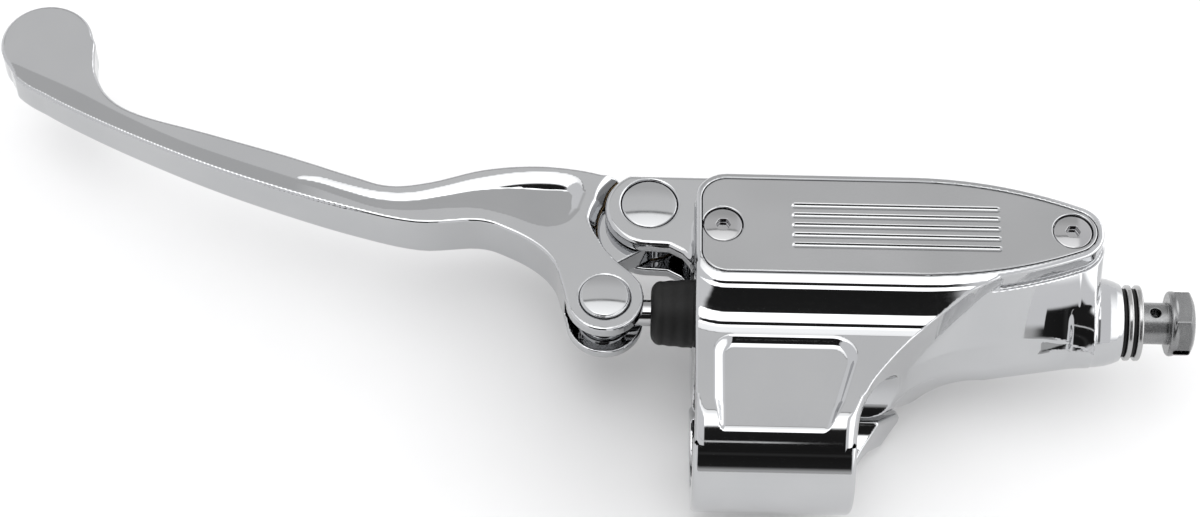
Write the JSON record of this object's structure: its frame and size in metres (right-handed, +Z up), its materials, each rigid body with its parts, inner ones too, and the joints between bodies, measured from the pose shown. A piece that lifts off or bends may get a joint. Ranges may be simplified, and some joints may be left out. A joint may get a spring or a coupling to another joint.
{
  "type": "brake master cylinder",
  "caption": "Handlebar brake master cylinder: a curved hand lever pushes a piston in a barrel under a covered fluid reservoir, held by a split bar clamp.",
  "frame": {"origin": "centre of the handlebar bore, at the middle of the clamp's width", "axes": "+X along the handlebar towards the hose end, lever side at -X; +Y forward, away from the rider; +Z up, square to the reservoir cover"},
  "size_m": [0.2746, 0.1257, 0.0481],
  "materials": {
    "chrome": "mirror polished plate",
    "cover_satin": "softly polished plate",
    "screw_steel": "turned and lightly polished",
    "washer_steel": "machined",
    "spring_steel": "drawn wire and stamped strip",
    "piston_alloy": "anodised",
    "bronze": "sintered",
    "rubber": "moulded, matt"
  },
  "bodies": {
    "housing": {"body": "chrome", "bar_clamp": "chrome", "clamp_screws": "screw_steel", "clamp_screw_washers": "screw_steel", "reservoir_cover": "cover_satin", "cover_diaphragm": "rubber", "cover_screws": "screw_steel", "fluid_baffle": "screw_steel", "return_spring": "spring_steel", "stop_washer": "screw_steel", "bore_snap_ring": "spring_steel", "dust_boot": "rubber", "pivot_shims": "bronze", "pivot_pin": "chrome", "pivot_clip": "spring_steel", "banjo_bolt": "screw_steel", "inner_crush_washer": "washer_steel", "outer_crush_washer": "washer_steel", "crush_washer_seals": "rubber"},
    "lever": {"lever": "chrome", "pivot_bushing": "bronze"},
    "piston": {"piston": "piston_alloy", "primary_cup": "rubber", "secondary_seal": "rubber", "spring_seat": "screw_steel"},
    "pushrod": {"pushrod": "screw_steel", "trunnion": "chrome", "trunnion_clip": "spring_steel"}
  },
  "joints": [
    {"name": "lever_pivot", "type": "hinge", "parent": "housing", "child": "lever", "pos_m": [-0.028, 0.0539, 0.0017], "axis": [0, 0, 1], "range_deg": [0, 15], "stiffness_Nm_per_rad": 1, "springref_deg": -17.19},
    {"name": "piston_slide", "type": "slide", "parent": "housing", "child": "piston", "axis": [1, 0, 0], "range_m": [0, 0.0068], "deforming": ["return_spring", "dust_boot"]},
    {"name": "trunnion_pivot", "type": "hinge", "parent": "lever", "child": "pushrod", "pos_m": [-0.0377, 0.0289, 0.0017], "axis": [0, 0, 1], "range_deg": [-12, 0]}
  ],
  "couplings": [
    {"joint": "piston_slide", "follows": "lever_pivot", "m_per_rad": 0.0257},
    {"joint": "trunnion_pivot", "follows": "lever_pivot", "ratio": -0.767}
  ]
}
